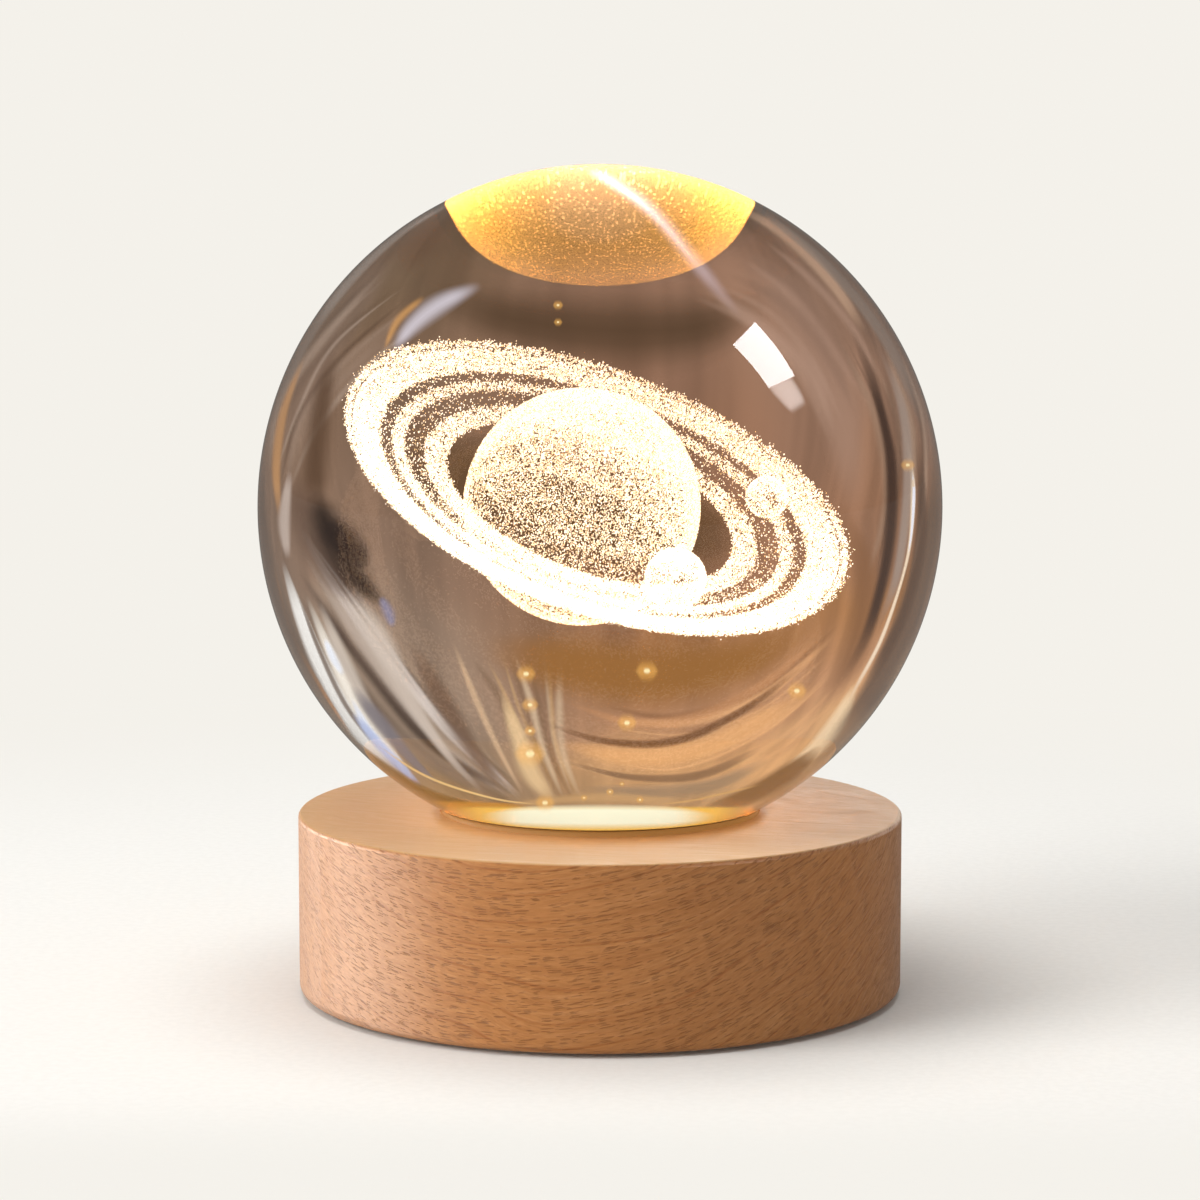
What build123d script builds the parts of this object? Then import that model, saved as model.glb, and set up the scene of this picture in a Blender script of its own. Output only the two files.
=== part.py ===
from build123d import *
import math
import os

# Crystal ball lamp: an engraved glass ball that stands on a lit window in a turned beech base.
# The origin is at the middle of the footprint, on the table. +Z is up, and -Y is the front.
# All sizes are in millimetres.

# Clearances
pocket_clearance = 0.1     # around a piece that is set into a pocket
running_clearance = 0.08   # around the button in its hole, on the radius
screw_clearance = 0.05     # around a screw's thread in its pilot hole, on the radius
hole_clearance = 0.2       # around a screw's shank in a plate, on the radius

# Glass ball
ball_diameter = 80.0
ball_flat_radius = 19.2

# Turned base
base_diameter = 71.2
wood_height = 21.2
foot_stand = 0.4           # from the table to the wood
top_edge_radius = 0.5
bottom_edge_radius = 1.0
side_wall = 9.6
web_thickness = 7.0        # wood left over the cavity
window_radius = 12.0

# Light plate, set into the top of the wood
light_plate_radius = 18.8
light_plate_thickness = 2.0
light_plate_proud = 0.7
light_plate_edge = 0.3

# Reflector ring, between the LED board and the light plate
reflector_wall = 0.9
reflector_throat = 2.3     # how much narrower it is at the foot than at the mouth, on the radius

# LED board, under the web
led_board_radius = 18.0
led_board_thickness = 1.6
led_count = 6              # in the circle round the middle one
led_circle_radius = 5.8
led_length = 3.5
led_width = 2.8
led_height = 0.8
phosphor_radius = 1.1
phosphor_depth = 0.35
led_screw_count = 3
led_screw_edge = 3.0       # from the screws' centres to the board's edge
led_screw_length = 5.0

# Small round-head screws of both boards
board_screw_radius = 1.0
board_screw_head_radius = 1.9
board_screw_head_height = 1.2
board_screw_head_round = 0.48

# Cross recesses and screw tips
recess_width_share = 1.2   # of the head's radius
recess_depth_share = 0.6   # of the head's height
screw_tip_share = 0.5      # of the thread's radius

# Bottom cover
cover_lip = 5.0            # how far the cover reaches past the cavity
cover_thickness = 2.0
cover_recess = 0.3
cover_screw_inset = 2.4    # from the cavity's wall to the screws' centres
cover_screw_radius = 1.1
cover_screw_head_radius = 2.2
cover_screw_length = 8.0
cover_screw_count = 4

# Feet
foot_radius = 4.5
foot_inset = 10.0          # from the cover's edge to a foot's centre
foot_socket_depth = 1.0
foot_count = 4
foot_edge = 0.3

# Control board, on posts of the cover
post_height = 3.1
post_radius = 2.4
post_spread = 17.0
post_pilot_depth = 4.0
board_width = 22.0
board_length = 17.6
board_thickness = 1.2
board_screw_length = 4.4
board_screw_setback = 3.4  # from the board's front edge
rib_thickness = 1.6        # the rib under the board's back edge
rib_inset = 4.0            # from the cover's edge to the rib

# Chip, capacitors and resistors
chip_length = 4.9
chip_width = 3.9
chip_height = 1.4
chip_stand = 0.2
chip_setback = 8.0         # from the board's front edge to the row of chip and capacitors
chip_legs = 4              # on each side
leg_pitch = 1.27
leg_width = 0.42
leg_reach = 1.05           # out of the chip's side
leg_height = 0.6
capacitor_length = 2.0
capacitor_width = 1.25
capacitor_gap = 2.15       # between a capacitor and the chip
resistor_length = 2.0
resistor_width = 1.25
resistor_height = 0.55
resistor_spread = 6.0
resistor_setback = 4.0     # from the middle of the LED board

# Rear panel, in a flat milled into the back
panel_face_depth = 2.6     # from the wood's round to the panel's face
panel_thickness = 2.0
panel_width = 26.2
panel_height = 9.8
panel_corner = 2.0
panel_shoulder = 1.0       # the wood that the panel seats on, all round

# Socket
port_inset = 7.1           # from the panel's ends to the middles of the socket and the button
socket_width = 8.94
socket_height = 3.26
socket_length = 7.3
socket_wall = 0.3
socket_round_share = 0.98  # corner radius over half the height
tongue_width = 6.7
tongue_height = 0.7
tongue_setback = 0.9
tongue_edge = 0.175

# Push button and its switch
button_radius = 2.8
button_stand = 1.6         # how far the button stands out of the panel
button_travel = 0.8
button_flange = 0.8        # wider than the button, on the radius
button_flange_height = 0.7
button_gap = 0.1
button_edge = 0.4
stem_radius = 1.1
stem_hole_depth = 3.3
switch_width = 7.0
switch_depth = 4.4
switch_height = 4.6
switch_gap = 0.3           # left between flange and switch with the button pressed in

# Leads
lead_radius = 0.6
lead_spacing = 3.6
lead_bend = 1.6
lead_rise = 2.4            # how far a lead rises from the control board before it turns
solder_height = 0.7
solder_foot = 1.0
led_pad_setback = 10.0     # from the middle of the LED board to its pads
lead_inset = 1.4           # from the control board's front edge to the leads' middles

# Engraving in the glass, measured from the ball's centre
motif_right = -1.0
motif_back = 1.2
motif_up = -0.3
ring_tilt = 21.6           # degrees, towards the front
ring_lean = 19.2           # degrees, down to the right
planet_radius = 9.4
planet_place = (-0.5, 0.0, 0.1)    # in the ring's own frame, like the moons' places
mark_depth = 0.5           # thickness of an engraved layer
ring_bands = {"inner": (11.8, 13.9), "middle": (15.6, 16.6), "outer": (17.7, 20.6)}
large_moon_radius = 2.8
large_moon_place = (8.9, -14.3, 3.45)
small_moon_radius = 1.6
small_moon_place = (12.7, 6.9, 2.55)

# Heights and radii that follow from the sizes above
base_radius = base_diameter / 2
ball_radius = ball_diameter / 2
wood_bottom = foot_stand
wood_top = wood_bottom + wood_height
plate_top = wood_top + light_plate_proud
plate_bottom = plate_top - light_plate_thickness
ball_flat_drop = math.sqrt(ball_radius**2 - ball_flat_radius**2)
ball_centre = plate_top + ball_flat_drop
cavity_radius = base_radius - side_wall
cavity_ceiling = wood_top - web_thickness
led_board_bottom = cavity_ceiling - led_board_thickness
led_screw_circle = led_board_radius - led_screw_edge
cover_radius = cavity_radius + cover_lip
cover_bottom = wood_bottom + cover_recess
cover_top = cover_bottom + cover_thickness
cover_screw_circle = cavity_radius + cover_screw_inset
foot_circle = cover_radius - foot_inset
foot_top = cover_bottom + foot_socket_depth
board_bottom = cover_top + post_height
board_top = board_bottom + board_thickness
port_height = board_top + socket_height / 2
port_offset = panel_width / 2 - port_inset
panel_face = base_radius - panel_face_depth
panel_seat = panel_face - panel_thickness
board_back = panel_seat - pocket_clearance
board_front = board_back - board_length
board_screw_y = board_front + board_screw_setback
flange_back = panel_seat - button_gap - button_flange_height
switch_face = flange_back - button_travel - switch_gap
channel_height = panel_height - 2 * panel_shoulder
channel_width = panel_width - 2 * panel_shoulder
channel_top = port_height + channel_height / 2


def disc(radius, low, high, x=0, y=0):
    """An upright cylinder from one height to another."""
    return Pos(x, y, (low + high) / 2) * Cylinder(radius, high - low)


def block(width, depth, low, high, x=0, y=0):
    """A box from one height to another, centred on x and y."""
    return Pos(x, y, (low + high) / 2) * Box(width, depth, high - low)


def slab_along_y(outline, front, back, x=0, z=0):
    """An outline drawn in the XZ plane, filled from one depth to another."""
    face = Plane(origin=(x, back, z), x_dir=(1, 0, 0), z_dir=(0, -1, 0)) * outline
    return extrude(face, back - front)


def rod_along_y(radius, front, back, x=0, z=0):
    """A round rod that lies along Y."""
    return slab_along_y(Circle(radius), front, back, x, z)


def on_circle(radius, count, start=0):
    """Places evenly spaced on a circle, with the angle of each."""
    for i in range(count):
        angle = start + i * 360 / count
        yield radius * math.cos(math.radians(angle)), radius * math.sin(math.radians(angle)), angle


def group(solids):
    """Separate like solids in one node."""
    return Compound(children=list(solids))


def cross_recess(head_radius, head_height, top):
    """The cutter for a screw head's cross recess, which opens upwards at the given height."""
    width = head_radius * recess_width_share
    arm = block(width, width / 4, top - head_height * recess_depth_share, top)
    return arm + Rot(0, 0, 90) * arm


def board_screw(length):
    """A round-head screw with its head's seat at z = 0, pointing down."""
    height = board_screw_head_height
    head = disc(board_screw_head_radius, 0, height)
    head = fillet(head.edges().group_by(Axis.Z)[-1], board_screw_head_round)
    shank = disc(board_screw_radius, -length, 0)
    shank = chamfer(shank.edges().group_by(Axis.Z)[0], board_screw_radius * screw_tip_share)
    return head + shank - cross_recess(board_screw_head_radius, height, height)


def cover_screw():
    """A countersunk screw with its head's flat at z = 0, pointing down."""
    sink = cover_screw_head_radius - cover_screw_radius
    head = Pos(0, 0, -sink / 2) * Cone(cover_screw_radius, cover_screw_head_radius, sink)
    shank = disc(cover_screw_radius, -cover_screw_length, -sink)
    shank = chamfer(shank.edges().group_by(Axis.Z)[0], cover_screw_radius * screw_tip_share)
    return head + shank - cross_recess(cover_screw_head_radius, sink, 0)


def countersink_cutter():
    """The hole for a countersunk screw, with its mouth at z = 0, pointing down."""
    grow = hole_clearance
    sink = cover_screw_head_radius - cover_screw_radius
    cone = Pos(0, 0, -sink / 2) * Cone(cover_screw_radius + grow, cover_screw_head_radius + grow, sink)
    return cone + disc(cover_screw_radius + grow, -cover_thickness, 0)


def cover_screw_spots():
    return list(on_circle(cover_screw_circle, cover_screw_count, 180 / cover_screw_count))


def led_screw_spots():
    return list(on_circle(led_screw_circle, led_screw_count, 90))


def board_screw_spots():
    return [(side * post_spread / 2, board_screw_y) for side in (-1, 1)]


def foot_spots():
    return list(on_circle(foot_circle, foot_count))


def panel_outline(grow=0.0):
    return RectangleRounded(panel_width + 2 * grow, panel_height + 2 * grow, panel_corner + grow)


# Base

def wood_base():
    body = disc(base_radius, wood_bottom, wood_top)
    body = fillet(body.edges().group_by(Axis.Z)[-1], top_edge_radius)
    body = fillet(body.edges().group_by(Axis.Z)[0], bottom_edge_radius)
    body -= disc(light_plate_radius + pocket_clearance, plate_bottom, wood_top)
    body -= disc(window_radius, cavity_ceiling, wood_top)
    body -= disc(cavity_radius, cover_top, cavity_ceiling)
    body -= disc(cover_radius + pocket_clearance, wood_bottom, cover_top)
    body -= slab_along_y(panel_outline(pocket_clearance), panel_seat, base_radius, z=port_height)
    channel_depth = panel_seat
    body -= block(channel_width, channel_depth, cover_top, channel_top, y=channel_depth / 2)
    for x, y, _ in cover_screw_spots():
        reach = cover_bottom + cover_screw_length + screw_clearance
        body -= disc(cover_screw_radius + screw_clearance, cover_top, reach, x, y)
    for x, y, _ in led_screw_spots():
        reach = led_board_bottom + led_screw_length + screw_clearance
        body -= disc(board_screw_radius + screw_clearance, cavity_ceiling, reach, x, y)
    return body


def light_plate():
    plate = disc(light_plate_radius, plate_bottom, plate_top)
    return chamfer(plate.edges().group_by(Axis.Z)[-1], light_plate_edge)


def reflector_ring():
    mouth = window_radius - pocket_clearance
    height = plate_bottom - cavity_ceiling
    tube = disc(mouth, cavity_ceiling, plate_bottom)
    inner = mouth - reflector_wall
    bore = Cone(inner - reflector_throat, inner, height)
    return tube - Pos(0, 0, cavity_ceiling + height / 2) * bore


def led_spots():
    yield 0, 0, 0
    yield from on_circle(led_circle_radius, led_count)


def led_board():
    board = disc(led_board_radius, led_board_bottom, cavity_ceiling)
    for x, y, _ in led_screw_spots():
        board -= disc(board_screw_radius + hole_clearance, led_board_bottom, cavity_ceiling, x, y)
    return board


def led_packages():
    top = cavity_ceiling + led_height
    package = block(led_length, led_width, cavity_ceiling, top)
    package -= disc(phosphor_radius, top - phosphor_depth, top)
    return group(Pos(x, y, 0) * Rot(0, 0, angle) * package for x, y, angle in led_spots())


def led_phosphors():
    top = cavity_ceiling + led_height
    window = disc(phosphor_radius, top - phosphor_depth, top)
    return group(Pos(x, y, 0) * window for x, y, _ in led_spots())


def led_resistors():
    part = block(resistor_length, resistor_width, led_board_bottom - resistor_height, led_board_bottom)
    return group(Pos(side * resistor_spread / 2, resistor_setback, 0) * part for side in (-1, 1))


def led_board_screws():
    screw = Rot(180, 0, 0) * board_screw(led_screw_length)
    return group(Pos(x, y, led_board_bottom) * screw for x, y, _ in led_screw_spots())


def bottom_cover():
    cover = disc(cover_radius, cover_bottom, cover_top)
    cutter = Pos(0, 0, cover_bottom) * Rot(180, 0, 0) * countersink_cutter()
    for x, y, _ in cover_screw_spots():
        cover -= Pos(x, y, 0) * cutter
    for x, y in board_screw_spots():
        cover += disc(post_radius, cover_top, board_bottom, x, y)
        pilot = board_screw_radius + screw_clearance
        cover -= disc(pilot, board_bottom - post_pilot_depth, board_bottom, x, y)
    cover += block(board_width / 2, rib_thickness, cover_top, board_bottom, y=cover_radius - rib_inset)
    for x, y, _ in foot_spots():
        cover -= disc(foot_radius + pocket_clearance, cover_bottom, foot_top, x, y)
    return cover


def cover_screws():
    screw = Pos(0, 0, cover_bottom) * Rot(180, 0, 0) * cover_screw()
    return group(Pos(x, y, 0) * screw for x, y, _ in cover_screw_spots())


def rubber_feet():
    foot = disc(foot_radius, 0, foot_top)
    foot = chamfer(foot.edges().group_by(Axis.Z)[0], foot_edge)
    return group(Pos(x, y, 0) * foot for x, y, _ in foot_spots())


# Control board and what stands on it

def control_board():
    middle = (board_front + board_back) / 2
    board = block(board_width, board_length, board_bottom, board_top, y=middle)
    for x, y in board_screw_spots():
        board -= disc(board_screw_radius + hole_clearance, board_bottom, board_top, x, y)
    notch_depth = board_back - switch_face
    notch_width = 2 * (button_radius + button_flange + running_clearance)
    notch_y = (switch_face + board_back) / 2
    board -= block(notch_width, notch_depth, board_bottom, board_top, port_offset, notch_y)
    return board


def control_board_screws():
    screw = board_screw(board_screw_length)
    return group(Pos(x, y, board_top) * screw for x, y in board_screw_spots())


def control_chip():
    foot = board_top + chip_stand
    chip = block(chip_length, chip_width, foot, foot + chip_height)
    row_width = chip_width + 2 * leg_reach
    for step in range(chip_legs):
        leg_x = (step - (chip_legs - 1) / 2) * leg_pitch
        chip += block(leg_width, row_width, board_top, board_top + leg_height, leg_x)
    return Pos(0, board_front + chip_setback, 0) * chip


def control_capacitors():
    part = block(capacitor_length, capacitor_width, board_top, board_top + capacitor_width)
    x = chip_length / 2 + capacitor_gap + capacitor_length / 2
    y = board_front + chip_setback
    return group(Pos(side * x, y, 0) * part for side in (-1, 1))


def socket_outline(grow=0.0):
    half = socket_height / 2 + grow
    return RectangleRounded(socket_width + 2 * grow, socket_height + 2 * grow, half * socket_round_share)


def usb_shell():
    back = panel_face
    front = back - socket_length
    shell = slab_along_y(socket_outline(), front, back, -port_offset, port_height)
    bore = slab_along_y(socket_outline(-socket_wall), front + socket_wall, back, -port_offset, port_height)
    return shell - bore


def usb_tongue():
    front = panel_face - socket_length + socket_wall
    back = panel_face - tongue_setback
    outline = Rectangle(tongue_width, tongue_height)
    tongue = slab_along_y(outline, front, back, -port_offset, port_height)
    return chamfer(tongue.edges().group_by(Axis.Y)[-1].filter_by(Axis.X), tongue_edge)


def rear_panel():
    panel = slab_along_y(panel_outline(), panel_seat, panel_face, z=port_height)
    mouth = socket_outline(pocket_clearance)
    panel -= slab_along_y(mouth, panel_seat, panel_face, -port_offset, port_height)
    panel -= rod_along_y(button_radius + running_clearance, panel_seat, panel_face, port_offset, port_height)
    return panel


def switch_body():
    front = switch_face - switch_depth
    middle = (front + switch_face) / 2
    body = block(switch_width, switch_depth, board_top, board_top + switch_height, port_offset, middle)
    hole_end = switch_face - stem_hole_depth
    body -= rod_along_y(stem_radius + running_clearance, hole_end, switch_face, port_offset, port_height)
    return body


def push_button():
    face = panel_face + button_stand
    cap = rod_along_y(button_radius, flange_back, face, port_offset, port_height)
    cap = fillet(cap.edges().group_by(Axis.Y)[-1], button_edge)
    flange_front = flange_back + button_flange_height
    cap += rod_along_y(button_radius + button_flange, flange_back, flange_front, port_offset, port_height)
    stem_end = switch_face - stem_hole_depth + button_travel + switch_gap
    cap += rod_along_y(stem_radius, stem_end, flange_back, port_offset, port_height)
    return cap


# Leads

def lead_path(side):
    """From a solder joint on the control board up, forwards and up again to the LED board."""
    x = side * lead_spacing / 2
    start = board_front + lead_inset
    low = board_top + solder_height
    high = led_board_bottom - solder_height
    turn = low + lead_rise
    return [(x, start, low), (x, start, turn), (x, -led_pad_setback, turn), (x, -led_pad_setback, high)]


def lead(side):
    points = lead_path(side)
    path = FilletPolyline(*points, radius=lead_bend)
    start = Plane(origin=points[0], z_dir=(0, 0, 1))
    return sweep(start * Circle(lead_radius), path)


def solder_joints():
    joints = []
    for side in (-1, 1):
        points = lead_path(side)
        foot = Cone(solder_foot, lead_radius, solder_height)
        joints.append(Pos(points[0][0], points[0][1], board_top + solder_height / 2) * foot)
        up = Rot(180, 0, 0) * foot
        joints.append(Pos(points[3][0], points[3][1], led_board_bottom - solder_height / 2) * up)
    return group(joints)


# Ball and its engraving

def crystal_ball():
    ball = Pos(0, 0, ball_centre) * Sphere(ball_radius)
    below = block(ball_diameter, ball_diameter, plate_top - ball_diameter, plate_top)
    return ball - below


def ring_plane():
    """The plane of the planet's ring, at the ring's centre."""
    tilt = math.radians(ring_tilt)
    lean = math.radians(ring_lean)
    normal = (math.sin(lean) * math.cos(tilt), -math.sin(tilt), math.cos(lean) * math.cos(tilt))
    level = (normal[2], 0, -normal[0])
    return Plane(origin=(motif_right, motif_back, ball_centre + motif_up), x_dir=level, z_dir=normal)


def engraved_planet():
    shell = Sphere(planet_radius) - Sphere(planet_radius - mark_depth)
    return ring_plane() * (Pos(*planet_place) * shell)


def engraved_band(inner, outer):
    band = disc(outer, -mark_depth / 2, mark_depth / 2) - disc(inner, -mark_depth / 2, mark_depth / 2)
    return ring_plane() * band


def engraved_moon(radius, place):
    return ring_plane() * (Pos(*place) * Sphere(radius))


parts = {
    "wood_base": wood_base(),
    "light_plate": light_plate(),
    "reflector_ring": reflector_ring(),
    "led_board": led_board(),
    "led_packages": led_packages(),
    "led_phosphors": led_phosphors(),
    "led_resistors": led_resistors(),
    "led_board_screws": led_board_screws(),
    "bottom_cover": bottom_cover(),
    "cover_screws": cover_screws(),
    "rubber_feet": rubber_feet(),
    "control_board": control_board(),
    "control_board_screws": control_board_screws(),
    "control_chip": control_chip(),
    "control_capacitors": control_capacitors(),
    "usb_shell": usb_shell(),
    "usb_tongue": usb_tongue(),
    "rear_panel": rear_panel(),
    "switch_body": switch_body(),
    "push_button": push_button(),
    "lead_red": lead(-1),
    "lead_black": lead(1),
    "solder_joints": solder_joints(),
    "crystal_ball": crystal_ball(),
    "engraved_planet": engraved_planet(),
    "engraved_moon_large": engraved_moon(large_moon_radius, large_moon_place),
    "engraved_moon_small": engraved_moon(small_moon_radius, small_moon_place),
}
for name, (inner, outer) in ring_bands.items():
    parts["engraved_ring_" + name] = engraved_band(inner, outer)

os.makedirs("parts", exist_ok=True)
for name, shape in parts.items():
    export_step(shape, f"parts/{name}.step")
print("lead bend radius", lead_bend, "mm")
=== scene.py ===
import math

import bpy
import numpy as np
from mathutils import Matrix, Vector


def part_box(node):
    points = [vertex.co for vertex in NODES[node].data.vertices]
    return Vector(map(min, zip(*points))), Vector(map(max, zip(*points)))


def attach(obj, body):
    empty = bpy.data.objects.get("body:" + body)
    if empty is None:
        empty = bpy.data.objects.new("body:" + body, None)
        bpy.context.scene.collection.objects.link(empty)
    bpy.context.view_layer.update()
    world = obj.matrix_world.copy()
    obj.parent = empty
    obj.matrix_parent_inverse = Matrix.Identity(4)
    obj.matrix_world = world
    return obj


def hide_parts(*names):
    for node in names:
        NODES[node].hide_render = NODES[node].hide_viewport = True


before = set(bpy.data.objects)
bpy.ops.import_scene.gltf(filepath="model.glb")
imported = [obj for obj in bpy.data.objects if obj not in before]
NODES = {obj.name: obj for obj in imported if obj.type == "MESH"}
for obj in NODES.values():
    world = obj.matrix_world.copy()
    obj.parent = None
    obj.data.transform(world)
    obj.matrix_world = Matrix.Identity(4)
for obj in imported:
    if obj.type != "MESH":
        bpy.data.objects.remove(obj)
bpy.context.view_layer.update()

# Looks of the crystal ball lamp: glass ball, engraving, turned beech base and its small parts.
# Lengths are in metres unless a name ends in _mm.

MM = 0.001

# The ball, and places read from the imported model
BALL_RADIUS = 40 * MM
BALL_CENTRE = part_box("crystal_ball")[1].z - BALL_RADIUS
CENTRE = Vector((0, 0, BALL_CENTRE))
FLAT_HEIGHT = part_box("crystal_ball")[0].z
WOOD_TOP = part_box("wood_base")[1].z

# Ball
SKIN = 0.02 * MM            # keeps the ball inside the CAD's box
GROUND_EDGE = 0.22 * MM     # height of the ground band round the flat
DISC_LIFT = 0.02 * MM       # from the ball's flat to the ground and lit disc over it
DISC_RADIUS = 19.1 * MM
DISC_LIT = 17.6 * MM        # radius of the disc's lit part
DISC_STRENGTH = 27.0
BALL_ROWS, BALL_SEGMENTS, DISC_SEGMENTS = 190, 320, 256
CREASE = math.radians(40)   # sharper edges aren't smoothed
GLASS_IOR = 1.465
SMOKE = (0.64, 0.455, 0.31, 1)
SMOKE_DENSITY = 24.0

# Engraving, in millimetres: its middle from the ball's centre, and the rest in the ring's own frame
MOTIF_MM = (-1.0, 1.2, -0.3)
RING_TILT = math.radians(21.6)
RING_LEAN = math.radians(19.2)
PLANET_MM = (-0.5, 0.0, 0.1)
PLANET_RADIUS_MM = 9.4
LARGE_MOON_MM = (8.9, -14.3, 3.45)
LARGE_MOON_RADIUS_MM = 2.8
SMALL_MOON_MM = (12.7, 6.9, 2.55)
SMALL_MOON_RADIUS_MM = 1.6
RING_EDGES_MM = (11.7, 15.4, 17.5, 20.7)    # from the inner ring's inner edge to the outer ring's outer edge
RING_THICKNESS_MM = 0.16
FUZZY_RIM_MM = 0.45         # width of the outer ring's rim, where the points stray
POINT_SIZES_MM = (0.045, 0.08)
MOST_POINTS = 49000         # in one piece of the engraving

# Camera, fitted to the photograph
CAMERA_REACH = 437.4 * MM
CAMERA_HEIGHT = math.radians(5.382)
CAMERA_PITCH = math.radians(6.804)
FOCAL_PIXELS = 3730.7
FRAME_PIXELS = 1200
SENSOR = 36.0

# Studio
BACKGROUND = (0.905, 0.880, 0.825)
DAYLIGHT = (1.0, 0.985, 0.96)
WORLD_STRENGTH = 0.36
MIRRORED_FRONT = 0.06       # how pale the studio looks to what mirrors it: in front of the object,
MIRRORED_BACK = 0.20        # behind it,
MIRRORED_TABLE = 0.26       # and on the table before it
CARD_REACH = 0.6            # from the ball to the window card
MAT_HEIGHT = 0.6 * MM


# Node helpers

class Tree:
    """Adds nodes to a material, world or lamp, and links them."""

    def __init__(self, owner):
        owner.use_nodes = True
        self.nodes = owner.node_tree.nodes
        self.links = owner.node_tree.links

    def put(self, value, socket):
        """Gives a socket a value, or links another node's output to it."""
        if isinstance(value, bpy.types.NodeSocket):
            self.links.new(value, socket)
        else:
            socket.default_value = value

    def give(self, node, values):
        """Gives a node's inputs their values or links."""
        for key, value in values.items():
            self.put(value, node.inputs[key])

    def add(self, kind, inputs=None, **settings):
        node = self.nodes.new(kind)
        for name, value in settings.items():
            setattr(node, name, value)
        self.give(node, inputs or {})
        return node

    def math(self, operation, a, b=0.0, c=0.0):
        return self.add("ShaderNodeMath", {0: a, 1: b, 2: c}, operation=operation).outputs[0]

    def times(self, a, b, plus=0.0):
        """a times b, with a third value added."""
        return self.math("MULTIPLY_ADD", a, b, plus)

    def vector(self, operation, a, b=(0, 0, 0)):
        node = self.add("ShaderNodeVectorMath", {0: a, 1: b}, operation=operation)
        return node.outputs["Value" if operation == "LENGTH" else "Vector"]

    def scaled(self, vector, by):
        return self.vector("MULTIPLY", vector, by)

    def split(self, vector):
        return self.add("ShaderNodeSeparateXYZ", {0: vector}).outputs

    def join(self, x, y, z):
        return self.add("ShaderNodeCombineXYZ", {0: x, 1: y, 2: z}).outputs[0]

    def steps(self, value, low, high, to_low=0.0, to_high=1.0):
        """Runs smoothly from to_low to to_high as the value goes from low to high."""
        node = self.add("ShaderNodeMapRange", {0: value, 1: low, 2: high, 3: to_low, 4: to_high},
                        interpolation_type="SMOOTHSTEP")
        return node.outputs[0]

    def noise(self, coords, scale, detail=3.0, rough=0.55, warp=0.0):
        node = self.add("ShaderNodeTexNoise", {"Vector": coords, "Scale": scale, "Detail": detail,
                                               "Roughness": rough, "Distortion": warp})
        return node.outputs[0]

    def mix(self, factor, a, b):
        return self.add("ShaderNodeMix", {0: factor, 6: a, 7: b}, data_type="RGBA").outputs[2]

    def ramp(self, factor, stops):
        """Colours by position: stops are (position, colour) pairs."""
        node = self.add("ShaderNodeValToRGB", {0: factor})
        node.color_ramp.interpolation = "EASE"
        elements = node.color_ramp.elements
        while len(elements) < len(stops):
            elements.new(0.5)
        for element, (position, colour) in zip(elements, stops):
            element.position = position
            element.color = (*colour, 1)
        return node.outputs[0]

    def bump(self, height, depth, strength):
        values = {"Height": height, "Distance": depth, "Strength": strength}
        return self.add("ShaderNodeBump", values).outputs[0]

    def blend(self, share, first, second, output="Material Output"):
        """Shows two shaders mixed."""
        both = self.add("ShaderNodeMixShader", {0: share, 1: first.outputs[0], 2: second.outputs[0]})
        self.put(both.outputs[0], self.nodes[output].inputs["Surface"])

    def here(self):
        """The surface's place in the object."""
        return self.add("ShaderNodeTexCoord").outputs["Object"]

    def mm(self):
        """The surface's place in the object, in millimetres."""
        return self.scaled(self.here(), (1 / MM, 1 / MM, 1 / MM))


def material(name):
    """A new material with its tree and its Principled shader."""
    made = bpy.data.materials.new(name)
    tree = Tree(made)
    shader = tree.nodes["Principled BSDF"]
    return made, tree, shader


def dress(made, *nodes):
    """Gives the material slots of the CAD's nodes a new material."""
    for node in nodes:
        for slot in NODES[node].material_slots:
            slot.material = made


# Plain materials of the small parts

def moulded(name, colour, roughness, grain_mm=0.25, depth_mm=0.02, variation=0.12):
    """Plastic, rubber or paint with a fine moulded grain and a slightly uneven tone."""
    made, tree, shader = material(name)
    place = tree.mm()
    cloud = tree.noise(place, 0.22, 2.0)
    grain = tree.noise(place, 1 / grain_mm, 2.0, 0.6)
    light = tuple(min(1.0, c * (1 + variation)) for c in colour)
    dark = tuple(c * (1 - variation) for c in colour)
    tree.give(shader, {"Base Color": tree.ramp(cloud, [(0.3, dark), (0.7, light)]),
                       "Roughness": tree.steps(grain, 0.3, 0.7, roughness - 0.06, roughness + 0.06),
                       "Normal": tree.bump(grain, depth_mm * MM, 0.6)})
    return made


def metal(name, colour, roughness, brush=(1.0, 12.0, 12.0)):
    """Bare metal with fine drawn lines."""
    made, tree, shader = material(name)
    place = tree.scaled(tree.mm(), brush)
    lines = tree.noise(place, 1.0, 3.0, 0.6)
    dark = tuple(c * 0.82 for c in colour)
    tree.give(shader, {"Base Color": tree.ramp(lines, [(0.3, dark), (0.7, colour)]), "Metallic": 1.0,
                       "Roughness": tree.steps(lines, 0.25, 0.75, roughness - 0.08, roughness + 0.1),
                       "Normal": tree.bump(lines, 0.01 * MM, 0.5)})
    return made


# Beech

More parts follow.
